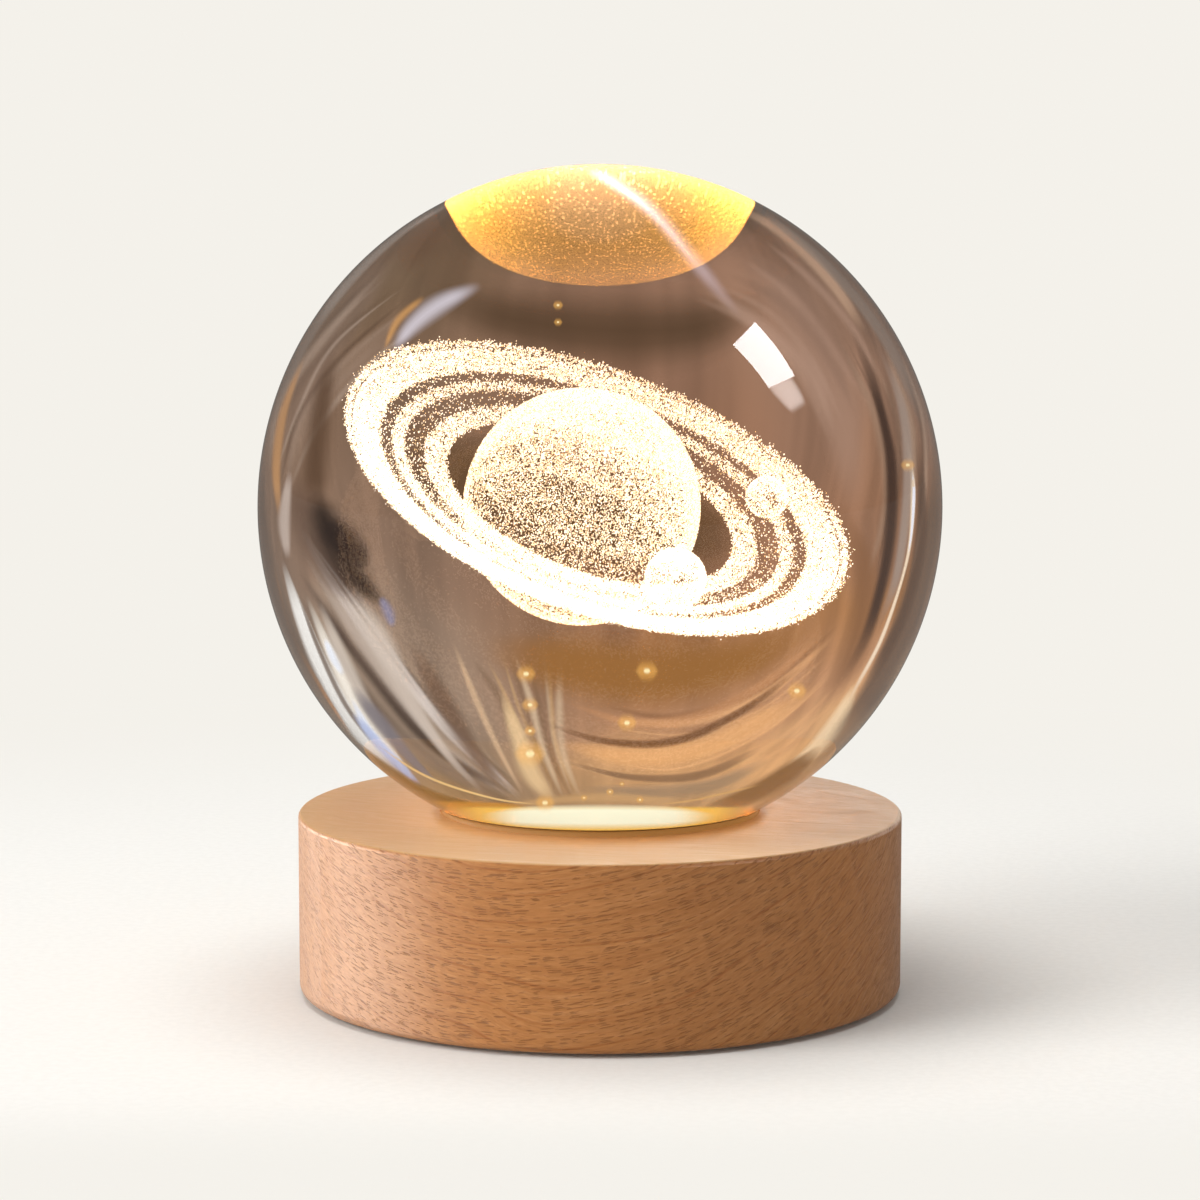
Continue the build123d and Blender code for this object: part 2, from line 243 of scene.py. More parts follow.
def beech():
    """Flat-sawn beech: slanting growth lines, fine fibres and short dark ray flecks."""
    slant = math.radians(11)
    heart = (0.0, 58.0, -112.0)     # the growth rings' middle, in millimetres
    ring_spacing = 2.6
    # Scales along the fibres, across them and through the depth, and the share of cells left bare
    flecks = ((0.62, 0.8, 8.5, 0.10), (0.45, 0.6, 7.0, 0.25))
    made, tree, shader = material("beech_wood")
    place = tree.mm()
    turned = tree.add("ShaderNodeVectorRotate", {"Vector": place, "Angle": slant},
                      rotation_type="Y_AXIS").outputs[0]
    wander = tree.noise(tree.scaled(turned, (0.016, 0.05, 0.05)), 1.0, 2.0)
    along, y, z = tree.split(turned)
    far = tree.vector("LENGTH", tree.vector("SUBTRACT", tree.join(0.0, y, z), heart))
    ring = tree.times(wander, 9.0, far)
    depth = tree.times(z, 0.89, tree.times(y, -0.45))
    flat = tree.times(y, 0.89, tree.times(z, 0.45))
    grown = tree.join(along, flat, ring)
    fibres = tree.noise(tree.scaled(grown, (0.04, 0.35, 2.1)), 1.0, 4.0, 0.6, 0.15)
    fine = tree.noise(tree.scaled(grown, (0.55, 1.2, 5.6)), 1.0, 2.0, 0.6)
    # Growth lines: thin, darker, and uneven in strength
    phase = tree.math("FRACT", tree.times(ring, 1 / ring_spacing))
    line = tree.steps(tree.math("ABSOLUTE", tree.math("SUBTRACT", phase, 0.5)), 0.0, 0.07, 1.0, 0.0)
    patchy = tree.noise(tree.scaled(turned, (0.06, 0.2, 0.5)), 1.0, 2.0)
    line = tree.times(line, tree.steps(patchy, 0.30, 0.55, 0.0, 1.0))
    # Ray flecks: short thin dashes along the fibres
    fleck = None
    for turn, (length, width, thick, share) in enumerate(flecks):
        fleck_place = tree.join(tree.times(along, length, 7.3 * turn),
                                tree.times(flat, width), tree.times(depth, thick))
        jitter = tree.noise(fleck_place, 0.5, 1.0)
        fleck_place = tree.vector("ADD", fleck_place, tree.join(0.0, 0.0, tree.times(jitter, 0.9)))
        cells = tree.add("ShaderNodeTexVoronoi", {"Vector": fleck_place, "Scale": 1.0, "Randomness": 1.0})
        chance = tree.split(cells.outputs["Color"])[0]
        size = tree.steps(chance, share, 1.0, 0.0, 0.46)
        dash = tree.steps(tree.math("SUBTRACT", cells.outputs["Distance"], size), -0.14, 0.0, 1.0, 0.0)
        fleck = dash if fleck is None else tree.math("MAXIMUM", fleck, dash)
    # The flat top is smoother than the side, and painted paler: a painted sheen and light on the top
    top_mm = WOOD_TOP / MM
    side = tree.steps(tree.split(place)[2], top_mm - 0.2, top_mm - 0.02, 1.0, 0.0)
    fleck = tree.times(fleck, tree.times(side, 0.8, 0.2))
    # Colours
    tone = tree.ramp(fibres, [(0.30, (0.415, 0.165, 0.048)), (0.5, (0.470, 0.200, 0.062)),
                              (0.72, (0.530, 0.242, 0.084))])
    cloud = tree.noise(tree.scaled(turned, (0.02, 0.05, 0.09)), 1.0, 2.0)
    tone = tree.mix(tree.steps(cloud, 0.35, 0.7, 0.0, 0.25), tone, (0.37, 0.135, 0.036, 1))
    tone = tree.mix(tree.times(line, 0.55), tone, (0.30, 0.085, 0.018, 1))
    tone = tree.mix(tree.steps(fine, 0.35, 0.65, 0.30, 0.0), tone, (0.27, 0.10, 0.028, 1))
    tone = tree.mix(tree.times(fleck, 0.5), tone, (0.20, 0.070, 0.019, 1))
    # Painted sheen and light: the top is paler than the side
    tone = tree.mix(tree.times(side, -0.8, 0.8), tone, (0.68, 0.44, 0.225, 1))
    rough = tree.times(fleck, 0.15, tree.steps(fibres, 0.3, 0.7, 0.50, 0.40))
    height = tree.times(fleck, -1.0, tree.times(fine, 0.5))
    height = tree.times(line, -0.3, height)
    tree.give(shader, {"Base Color": tone, "Roughness": rough, "Specular IOR Level": 0.32,
                       "Normal": tree.bump(height, 0.07 * MM, 0.9)})
    return made


# Lit and frosted surfaces

def lit(name, stops, reach_mm, strength, glitter=0.0, glitter_mm=0.25, sides=1.0,
        base=(0.9, 0.8, 0.62), rough=0.5):
    """A ground or frosted surface lit from behind, with colours by distance from the axis.

    glitter is how bright its specks are, and sides how much brighter it is far to the left and right.
    """
    made, tree, shader = material(name)
    away = tree.vector("LENGTH", tree.scaled(tree.mm(), (1, 1, 0)))
    glow = tree.ramp(tree.times(away, 1 / reach_mm), stops)
    if glitter:
        cells = tree.add("ShaderNodeTexVoronoi", {"Vector": tree.mm(), "Scale": 1 / glitter_mm},
                         voronoi_dimensions="2D")
        speck = tree.steps(cells.outputs["Distance"], 0.15, 0.40, 1.0, 0.0)
        chosen = tree.steps(tree.split(cells.outputs["Color"])[0], 0.35, 1.0, 0.0, glitter)
        factor = tree.times(speck, chosen, 1.0)
        # Brighter towards both sides
        aside = tree.math("ABSOLUTE", tree.split(tree.mm())[0])
        factor = tree.times(factor, tree.steps(aside, 0.35 * reach_mm, 0.9 * reach_mm, 1.0, sides))
        glow = tree.scaled(glow, factor)
    grain = tree.noise(tree.mm(), 9.0, 2.0)
    tree.give(shader, {"Emission Color": glow, "Emission Strength": strength, "Base Color": (*base, 1),
                       "Roughness": tree.steps(grain, 0.3, 0.7, rough - 0.06, rough + 0.08)})
    return made


def smoky_glass():
    """Polished glass that darkens to brown with depth."""
    made, tree, shader = material("smoky_glass")
    tree.give(shader, {"Base Color": (1, 1, 1, 1), "Transmission Weight": 1.0, "Roughness": 0.0,
                       "IOR": GLASS_IOR})
    smoke = tree.add("ShaderNodeVolumeAbsorption", {"Color": SMOKE, "Density": SMOKE_DENSITY})
    tree.put(smoke.outputs[0], tree.nodes["Material Output"].inputs["Volume"])
    return made


def glowing(name, colour, strength):
    """An engraved point: bright from the light that comes up through the glass."""
    made, tree, shader = material(name)
    tree.give(shader, {"Base Color": (0.8, 0.78, 0.72, 1), "Emission Color": (*colour, 1),
                       "Emission Strength": strength, "Roughness": 0.6})
    made.cycles.emission_sampling = "NONE"
    return made


# Meshes

def put_in_scene(name, data):
    made = bpy.data.objects.new(name, data)
    bpy.context.scene.collection.objects.link(made)
    return made


def turn_to(made, way):
    """Points a lamp or the camera along a direction."""
    made.rotation_mode = "QUATERNION"
    made.rotation_quaternion = way.to_track_quat("-Z", "Y")


def add_object(name, vertices, faces, materials, smooth=False):
    mesh = bpy.data.meshes.new(name)
    mesh.from_pydata(vertices, [], faces)
    for made in materials:
        mesh.materials.append(made)
    if smooth:
        mesh.shade_smooth()
    mesh.update()
    return put_in_scene(name, mesh)


def lathe(name, profile, segments, materials, centre=(0, 0, 0), crease=None):
    """Turns a profile round the Z axis. Each point is (radius, height, material of the band after it)."""
    x, y, z = centre
    vertices, faces, slots, rows = [], [], [], []
    turns = [2 * math.pi * i / segments for i in range(segments)]
    for radius, height, _ in profile:
        if radius < 1e-7:
            rows.append([len(vertices)])
            vertices.append((x, y, z + height))
        else:
            rows.append(range(len(vertices), len(vertices) + segments))
            vertices += [(x + radius * math.cos(t), y + radius * math.sin(t), z + height) for t in turns]
    for upper, lower, (_, _, slot) in zip(rows, rows[1:], profile):
        for i in range(segments):
            j = (i + 1) % segments
            if len(upper) == 1:
                face = (upper[0], lower[i], lower[j])
            elif len(lower) == 1:
                face = (upper[i], lower[0], upper[j])
            else:
                face = (upper[i], lower[i], lower[j], upper[j])
            faces.append(face)
            slots.append(slot)
    made = add_object(name, vertices, faces, materials, smooth=True)
    made.data.polygons.foreach_set("material_index", slots)
    if crease:
        made.data.set_sharp_from_angle(angle=crease)
    return made


def place(piece, body, slot, *replaced):
    """Puts a piece on a body and hides the nodes it replaces. slot is not used."""
    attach(piece, body)
    if replaced:
        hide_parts(*replaced)
    return piece


# Ball

def make_ball():
    """The glass ball with a ground edge round its flat, and the ground and lit disc over the flat."""
    radius = BALL_RADIUS - SKIN
    flat = FLAT_HEIGHT + SKIN - BALL_CENTRE
    last = math.acos((flat + GROUND_EDGE) / radius)
    turns = [last * i / BALL_ROWS for i in range(BALL_ROWS)]
    body = [(radius * math.sin(turn), radius * math.cos(turn), 0) for turn in turns]
    body.append((radius * math.sin(last), flat + GROUND_EDGE, 1))
    body += [(math.sqrt(radius**2 - flat**2), flat, 0), (0.0, flat, 0)]
    edge = moulded("ground_edge", (0.22, 0.115, 0.045), 0.5, 0.12, 0.01)
    ball = lathe("crystal_ball_body", body, BALL_SEGMENTS, [smoky_glass(), edge], CENTRE, CREASE)
    place(ball, "ball", "smoky_crystal", "crystal_ball")

    share = DISC_LIT / DISC_RADIUS
    glow = lit("ground_flat", [(0.0, (0.86, 0.76, 0.46)), (0.25 * share, (0.88, 0.76, 0.42)),
                               (0.45 * share, (0.93, 0.74, 0.28)), (0.80 * share, (0.93, 0.72, 0.18)),
                               (share, (0.98, 0.72, 0.18)), (share + 0.02, (0.004, 0.002, 0.001))],
               DISC_RADIUS / MM, DISC_STRENGTH, glitter=2.2, glitter_mm=0.5, sides=1.6,
               base=(0.05, 0.035, 0.02))
    low = flat + DISC_LIFT
    disc = lathe("crystal_ball_ground_flat",
                 [(0.0, low + SKIN, 0), (DISC_RADIUS, low + SKIN, 0), (DISC_RADIUS, low, 0), (0.0, low, 0)],
                 DISC_SEGMENTS, [glow], CENTRE, CREASE)
    disc.visible_diffuse = False
    glow.cycles.emission_sampling = "NONE"
    place(disc, "ball", "smoky_crystal")


# Engraving: clouds of small engraved points

TILTED = (math.sin(RING_LEAN) * math.cos(RING_TILT), -math.sin(RING_TILT),
          math.cos(RING_LEAN) * math.cos(RING_TILT))
RING_NORMAL = np.array(TILTED)
RING_X = np.array((TILTED[2], 0, -TILTED[0])) / math.hypot(TILTED[2], TILTED[0])
RING_Y = np.cross(RING_NORMAL, RING_X)
RING_FRAME = np.stack([RING_X, RING_Y, RING_NORMAL])
# An engraved point's corners and faces
CORNERS = np.array([(1, 1, 1), (1, -1, -1), (-1, 1, -1), (-1, -1, 1)]) / math.sqrt(3)
SIDES = np.array([(0, 1, 2), (0, 3, 1), (0, 2, 3), (1, 3, 2)])


def smooth_step(value, low, high):
    """Runs smoothly from 0 to 1 as the value goes from low to high."""
    t = np.clip((value - low) / (high - low), 0, 1)
    return t * t * (3 - 2 * t)


def turned_points(rng, count):
    """Random rotations, as matrices."""
    q = rng.normal(size=(count, 4))
    q /= np.linalg.norm(q, axis=1)[:, None]
    w, x, y, z = q.T
    rows = [1 - 2 * (y * y + z * z), 2 * (x * y - z * w), 2 * (x * z + y * w),
            2 * (x * y + z * w), 1 - 2 * (x * x + z * z), 2 * (y * z - x * w),
            2 * (x * z - y * w), 2 * (y * z + x * w), 1 - 2 * (x * x + y * y)]
    return np.stack(rows, 1).reshape(-1, 3, 3)


def cloud(name, points_mm, rng, materials, chances):
    """One engraved point, a tiny faceted crack, at each place given in the ring's frame."""
    count = len(points_mm)
    size = rng.uniform(*POINT_SIZES_MM, count)
    stretch = np.stack([np.ones(count), np.ones(count), rng.uniform(1.0, 1.5, count)], 1)
    shapes = np.einsum("nij,kj->nki", turned_points(rng, count), CORNERS) * size[:, None, None]
    shapes *= stretch[:, None, :]
    middle = np.array((MOTIF_MM[0], MOTIF_MM[1], MOTIF_MM[2] + BALL_CENTRE / MM))
    spots = (points_mm[:, None, :] + shapes) @ RING_FRAME + middle
    vertices = (spots.reshape(-1, 3) * MM).tolist()
    faces = (SIDES[None] + 4 * np.arange(count)[:, None, None]).reshape(-1, 3).tolist()
    made = add_object(name, vertices, faces, materials)
    picks = rng.choice(len(materials), count, p=chances)
    made.data.polygons.foreach_set("material_index", np.repeat(picks, 4))
    return made


def ring_points(rng, inner, outer, count, density, fuzz=0.0):
    """Points in a flat ring, thinned by density(radius, angle). fuzz is how far those at its rim stray."""
    radius = np.sqrt(rng.uniform(inner**2, outer**2, count))
    angle = rng.uniform(0, 2 * math.pi, count)
    kept = rng.uniform(size=count) < density(radius, angle)
    radius, angle = radius[kept], angle[kept]
    if fuzz:
        radius += np.abs(rng.normal(0, fuzz, len(radius))) * (radius > outer - FUZZY_RIM_MM)
    height = rng.normal(0, RING_THICKNESS_MM / 2, len(radius))
    return np.stack([radius * np.cos(angle), radius * np.sin(angle), height], 1)


def globe_points(rng, radius, count, density, centre=(0, 0, 0), depth=0.12):
    """Points in a ball's skin, thinned by density(direction)."""
    way = rng.normal(size=(count, 3))
    way /= np.linalg.norm(way, axis=1)[:, None]
    kept = rng.uniform(size=count) < density(way)
    way = way[kept]
    reach = radius - np.abs(rng.normal(0, depth, len(way)))
    return way * reach[:, None] + np.array(centre)


def front(angle):
    """One at the ring's front, towards the camera, and zero at its back."""
    return 0.5 - 0.5 * np.sin(angle)


LIT_SIDE = RING_FRAME @ (np.array((0.5, 0.25, 0.83)) / np.linalg.norm((0.5, 0.25, 0.83)))


def planet_density(way):
    """Full at the north cap and on the lit side, thin in a belt and in the south."""
    latitude = np.degrees(np.arcsin(np.clip(way[:, 2], -1, 1)))
    lit = way @ LIT_SIDE
    even = 0.60 + 0.30 * smooth_step(lit, -0.25, 0.55) + 0.05 * np.sin(latitude * 0.35)
    sparse = smooth_step(latitude, -16, -10) * (1 - smooth_step(latitude, 2, 8))
    even = even * (1 - 0.55 * sparse)
    even = np.where(latitude < -16, 0.22, even)
    north = smooth_step(latitude, 46, 66)
    bright = smooth_step(lit, 0.42, 0.72)
    south = 1 - smooth_step(latitude, -60, -42)
    return np.clip(np.maximum.reduce([even, north, bright, 0.42 * south]), 0, 1)


def moon_density(way):
    """Full on the lit side."""
    return np.clip(0.42 + smooth_step(way @ LIT_SIDE, 0.05, 0.4), 0, 1)


def band(radius, low, high, soft):
    """One from low to high, with soft edges."""
    return smooth_step(radius, low, low + soft) * (1 - smooth_step(radius, high - soft, high))


def inner_density(radius, angle):
    solid = band(radius, RING_EDGES_MM[0], 14.0, 0.35) * (0.62 + 0.38 * front(angle))
    return np.clip(solid + (radius > 13.7) * (0.08 + 0.50 * front(angle) ** 4), 0, 1)


def middle_density(radius, angle):
    solid = band(radius, RING_EDGES_MM[1], 16.9, 0.45) * (0.50 + 0.50 * front(angle))
    return np.clip(solid + 0.08 + 0.45 * front(angle) ** 4, 0, 1)


def outer_density(radius, angle):
    solid = band(radius, RING_EDGES_MM[2], 21.4, 0.5) * (0.60 + 0.40 * front(angle))
    return np.clip(solid + 0.06, 0, 1)


def make_engraving():
    """The planet, its rings and moons. The counts are of the points before they are thinned."""
    rng = np.random.default_rng(2609)
    tones = [glowing("engraved_white", (1.0, 0.97, 0.88), 2.3),
             glowing("engraved_cream", (1.0, 0.90, 0.70), 1.6),
             glowing("engraved_gold", (1.0, 0.72, 0.36), 0.8)]
    first, second, third, last = RING_EDGES_MM
    pieces = {
        "planet": globe_points(rng, PLANET_RADIUS_MM, 120000, planet_density, PLANET_MM),
        "ring_inner": ring_points(rng, first, second, 38000, inner_density),
        "ring_middle": ring_points(rng, second, third, 28000, middle_density),
        "ring_outer": ring_points(rng, third, last, 72000, outer_density, fuzz=0.25),
        "moon_large": globe_points(rng, LARGE_MOON_RADIUS_MM, 9000, moon_density, LARGE_MOON_MM),
        "moon_small": globe_points(rng, SMALL_MOON_RADIUS_MM, 3000, moon_density, SMALL_MOON_MM, 0.06),
    }
    for name, points in pieces.items():
        shares = (0.34, 0.30, 0.36) if name == "planet" else (0.46, 0.34, 0.20)
        for part, some in enumerate(np.array_split(points, math.ceil(len(points) / MOST_POINTS))):
            title = "engraved_dots_" + name + ("_more" * part)
            replaced = [] if part else ["engraved_" + name]
            place(cloud(title, some, rng, tones, shares), "ball", "engraving", *replaced)


# Stage: floor, backdrop and studio cards

def seen_by(piece, **kinds):
    """Leaves a staged piece visible to the named kinds of ray only."""
    for kind in ("camera", "diffuse", "glossy", "transmission", "volume_scatter", "shadow"):
        setattr(piece, "visible_" + kind, kinds.get(kind, False))


def emitter(name, colour, strength):
    """A plain glowing material, with its tree and its emission node."""
    made = bpy.data.materials.new(name)
    tree = Tree(made)
    tree.nodes.clear()
    glow = tree.add("ShaderNodeEmission", {"Color": (*colour, 1), "Strength": strength})
    tree.add("ShaderNodeOutputMaterial", {"Surface": glow.outputs[0]})
    return made, tree, glow


def shown_to(tree, mirrored):
    """Whether a ray is straight or mirrored, and the background's tone for it, scaled if mirrored."""
    path = tree.add("ShaderNodeLightPath").outputs
    straight = tree.math("MAXIMUM", path["Is Camera Ray"], path["Is Transmission Ray"])
    share = tree.math("MAXIMUM", straight, tree.times(path["Is Glossy Ray"], mirrored))
    tone = tree.scaled(BACKGROUND, share)
    return straight, path["Is Glossy Ray"], tone


def make_floor():
    """A pale table that keeps the object's shadow, and is plain background farther off and in front."""
    made, tree, shader = material("pale_floor")
    away = tree.vector("LENGTH", tree.here())
    grain = tree.noise(tree.here(), 900.0, 2.0)
    paint = tree.ramp(grain, [(0.3, (0.765, 0.765, 0.75)), (0.7, (0.79, 0.79, 0.775))])
    tree.give(shader, {"Base Color": paint, "Roughness": 0.9, "Specular IOR Level": 0.1})
    behind = tree.split(tree.here())[1]
    straight, glossy, tone = shown_to(tree, tree.steps(behind, 0.0, 0.6, MIRRORED_TABLE, MIRRORED_BACK))
    far = tree.steps(away, 0.085, 0.24)
    before = tree.steps(behind, -0.08, -0.045, 0.9, 0.0)
    fade = tree.math("MAXIMUM", tree.times(straight, tree.math("MAXIMUM", far, before)), glossy)
    tree.blend(fade, shader, tree.add("ShaderNodeEmission", {"Color": tone}))
    corners = [(-3, -3, 0), (3, -3, 0), (3, 3, 0), (-3, 3, 0)]
    add_object("floor", corners, [(0, 1, 2, 3)], [made])


def make_world():
    """An even light, which straight and mirrored rays see as plain background."""
    world = bpy.data.worlds.new("studio")
    bpy.context.scene.world = world
    tree = Tree(world)
    light = tree.nodes["Background"]
    tree.give(light, {"Color": (*DAYLIGHT, 1), "Strength": WORLD_STRENGTH})
    behind = tree.split(tree.add("ShaderNodeTexCoord").outputs["Generated"])[1]
    straight, glossy, tone = shown_to(tree, tree.steps(behind, 0.3, 0.95, MIRRORED_FRONT, MIRRORED_BACK))
    seen = tree.math("MAXIMUM", straight, glossy)
    plain = tree.add("ShaderNodeBackground", {"Color": tone, "Strength": 1.0})
    tree.blend(seen, light, plain, "World Output")


def lamp(name, kind, place_at, size, power, colour, aim=None, lights=None):
    """A lamp that camera and glass don't show. Power is in watts. lights names the nodes it is kept to."""
    data = bpy.data.lights.new(name, kind)
    data.energy = power
    data.color = colour
    made = put_in_scene(name, data)
    made.location = place_at
    if kind == "AREA":
        data.shape = "DISK"
        data.size = size
        turn_to(made, Vector(aim) - Vector(place_at))
    else:
        data.shadow_soft_size = size
    made.visible_camera = made.visible_glossy = made.visible_transmission = False
    if lights:
        group = bpy.data.collections.new(name + "_lights")
        for node in lights:
            group.objects.link(NODES[node])
        made.light_linking.receiver_collection = group
    return made


def make_lamps():
    middle = (0, 0, 0.03)
    lamp("key", "AREA", (-1.45, -0.62, 0.66), 1.2, 25.0, DAYLIGHT, middle)
    lamp("top", "AREA", (-0.10, -0.05, 1.5), 1.0, 14.5, DAYLIGHT, middle)
    # The sheen on the wood: of the pale table at the left, and of the pale background
    for name, place_at, size, power, colour in (
            ("table_sheen", (-0.88, 0.34, -0.14), 1.1, 50.0, (1.0, 0.99, 0.94)),
            ("back_sheen", (0.45, 1.05, 0.14), 1.2, 8.5, (1.0, 0.94, 0.86))):
        sheen = lamp(name, "AREA", place_at, size, power, colour, middle, ["wood_base"])
        sheen.visible_glossy = True
        sheen.visible_diffuse = False
        sheen.light_linking.blocker_collection = sheen.light_linking.receiver_collection
    # Warm light that leaves the foot of the ball, on the wood round it
    glow = lamp("foot_glow", "POINT", (0, 0, WOOD_TOP + 5 * MM), 4 * MM, 0.021, (1.0, 0.54, 0.13),
                lights=["wood_base"])
    glow.data.use_shadow = False


def camera_axes():
    """Where the camera is, and its forward, right and up directions."""
    level = CAMERA_REACH * math.cos(CAMERA_HEIGHT)
    at = Vector((0, -level, BALL_CENTRE + CAMERA_REACH * math.sin(CAMERA_HEIGHT)))
    forward = Vector((0, math.cos(CAMERA_PITCH), -math.sin(CAMERA_PITCH)))
    right = Vector((1, 0, 0))
    return at, forward, right, right.cross(forward)


def camera_ray(pixel):
    """Where the camera is, and its ray at a pixel of the photograph's frame."""
    at, forward, right, up = camera_axes()
    half = FRAME_PIXELS / 2
    return at, (forward * FOCAL_PIXELS + right * (pixel[0] - half) - up * (pixel[1] - half)).normalized()


def rim_share(pixel):
    """How far out on the ball a pixel looks: 0 at its middle and 1 at its silhouette."""
    at, ray = camera_ray(pixel)
    return (at + ray * (CENTRE - at).dot(ray) - CENTRE).length / BALL_RADIUS


def ball_ray(pixel):
    """The camera's ray at a pixel of the photograph's frame, and where it meets the ball."""
    at, ray = camera_ray(pixel)
    nearest = (CENTRE - at).dot(ray)
    off = min(rim_share(pixel), LAST_RIM) * BALL_RADIUS
    touch = at + ray * (nearest - math.sqrt(BALL_RADIUS**2 - off**2))
    return ray, touch, (touch - CENTRE).normalized()


def mirrored_place(pixel, reach):
    """The place, at that reach, that the ball's surface mirrors at a pixel."""
    ray, touch, normal = ball_ray(pixel)
    return touch + (ray - 2 * ray.dot(normal) * normal) * reach


def bent(ray, normal, ratio):
    """A ray after it passes a glass surface."""
    facing = -ray.dot(normal)
    rest = max(0.0, 1 - ratio**2 * (1 - facing**2))
    return (ratio * ray + (ratio * facing - math.sqrt(rest)) * normal).normalized()


def shown_place(pixel, reach):
    """The place, at that reach, that the ball shows through itself at a pixel, and the glass on the way."""
    ray, touch, normal = ball_ray(pixel)
    inside = bent(ray, normal, 1 / GLASS_IOR)
    glass = -2 * (touch - CENTRE).dot(inside)
    leave = touch + inside * glass
    way = bent(inside, (CENTRE - leave).normalized(), GLASS_IOR)
    if way.z < 0:
        lowest = MAT_HEIGHT + MAT_GAP + (SHAPE_REACH - reach) * MAT_STEP
        reach = min(reach, (leave.z - lowest) / -way.z)
    return leave + way * reach, glass


# The mirrored window's corners in the photograph's frame
WINDOW_CORNERS = [(733, 345), (755, 322), (795, 376), (769, 388)]


def make_cards():
    """The window and the strip of light that the ball's surface mirrors."""
    made, _, _ = emitter("window_light", (0.96, 0.98, 1.0), 20.0)
    corners = [mirrored_place(corner, CARD_REACH) for corner in WINDOW_CORNERS]
    seen_by(add_object("window_card", corners, [(0, 1, 2, 3)], [made]), glossy=True)
    soft_card("mirrored_shapes", MIRRORED.values(),
              lambda pixel, reach: (mirrored_place(pixel, reach), None), glossy=True)


def make_surround():
    """A mat and wall round the studio, which only the glass shows: painted brown light and shade of a room
    that the ball shows through itself.
    """
    made, tree, glow = emitter("painted_surround", (1, 1, 1), 1.0)
    place_at = tree.vector("SUBTRACT", tree.here(), CENTRE)
    x, y, z = tree.split(place_at)
    reach = tree.vector("LENGTH", tree.join(x, y, 0.0))
    height = tree.times(tree.math("ARCTAN2", z, reach), 180 / math.pi)
    side = tree.math("DIVIDE", x, reach)
    back = tree.math("DIVIDE", y, reach)
    wander = tree.noise(tree.scaled(tree.join(side, back, height), (2.2, 2.2, 0.03)), 1.6, 2.0)
    height = tree.times(tree.math("SUBTRACT", wander, 0.5), 26.0, height)
    # Heights from -60 to 60 degrees. Brown to the left, where the ball's right half looks, and greyer to
    # the right
    step = tree.times(tree.math("ADD", height, 60.0), 1 / 120)
    brown = tree.ramp(step, [
        (0.20, (0.26, 0.20, 0.15)), (0.27, (0.42, 0.32, 0.26)), (0.36, (0.58, 0.44, 0.36)),
        (0.50, (0.62, 0.43, 0.31)), (0.57, (0.72, 0.46, 0.24)), (0.65, (0.90, 0.62, 0.40)),
        (0.73, (1.30, 0.95, 0.55)), (0.82, (1.0, 0.80, 0.50)), (0.95, (0.9, 0.7, 0.4))])
    grey = tree.ramp(step, [
        (0.20, (0.26, 0.20, 0.14)), (0.27, (0.33, 0.28, 0.21)), (0.38, (0.46, 0.38, 0.31)),
        (0.50, (0.50, 0.43, 0.37)), (0.62, (0.58, 0.55, 0.50)), (0.75, (0.50, 0.46, 0.38)),
        (0.90, (0.6, 0.5, 0.3))])
    tone = tree.mix(tree.steps(side, -0.10, 0.30), brown, grey)
    # Painted folds: brighter and darker streaks of light on the surround
    folds = tree.noise(tree.scaled(tree.join(side, back, height), (9.0, 9.0, 0.015)), 1.0, 3.0, 0.55)
    fold = tree.steps(folds, 0.3, 0.7, 0.78, 1.18)
    tree.put(tree.scaled(tone, fold), glow.inputs["Color"])
    start, wall, parts, rise = 46 * MM, 0.95, 24, 0.09
    profile = [(start + (wall - start) * (i / parts) ** 1.5, MAT_HEIGHT, 0) for i in range(parts + 1)]
    profile += [(wall, rise * i, 0) for i in range(1, parts + 1)]
    seen_by(lathe("painted_surround", profile, 128, [made]), transmission=True)


# Painted reflections, light and shade that the ball shows, as soft shapes: (x, y, half width) along each in
# the photograph's frame, then the colour as it looks (sRGB, 0 to 255), how much it covers, and the share of
# the width that is full
# Painted reflections on the ball's surface
MIRRORED = {
    "strip": ([(586, 170, 5), (615, 184, 9), (655, 214, 11), (700, 268, 11), (742, 318, 5)],
        (206, 200, 218), 0.3, 0.0),
    "strip_heart": ([(602, 176, 2), (640, 202, 5), (672, 234, 5), (700, 270, 3)], (220, 214, 234), 0.3, 0.0),
    "window_tail": ([(764, 360, 13), (780, 382, 13.5), (792, 398, 12), (800, 410, 9)],
        (222, 214, 210), 0.6, 0.6),
}
# Washes of painted shade and sheen lie behind the fans of streaks, and the other shapes before them
WASHES = {
    "cap_shade": ([(430, 190, 24), (510, 218, 52), (600, 232, 58), (690, 218, 52), (765, 190, 24)],
        (62, 48, 16), 0.85, 0.1),
    "middle_shade": ([(380, 430, 30), (480, 480, 64), (580, 520, 74), (680, 530, 64), (780, 540, 30)],
        (92, 66, 40), 0.9, 0.2),
    "shade_under_cap": ([(420, 290, 16), (510, 318, 42), (610, 330, 54), (700, 326, 44), (770, 300, 16)],
        (78, 58, 40), 0.85, 0.05),
    "upper_right_sheen": ([(735, 250, 12), (790, 300, 34), (824, 360, 34), (846, 440, 26),
        (856, 520, 16)], (168, 134, 114), 0.6, 0.1),
    "upper_left_haze": ([(392, 250, 10), (352, 310, 22), (318, 370, 20), (290, 440, 14)],
        (134, 112, 98), 0.5, 0.1),
}
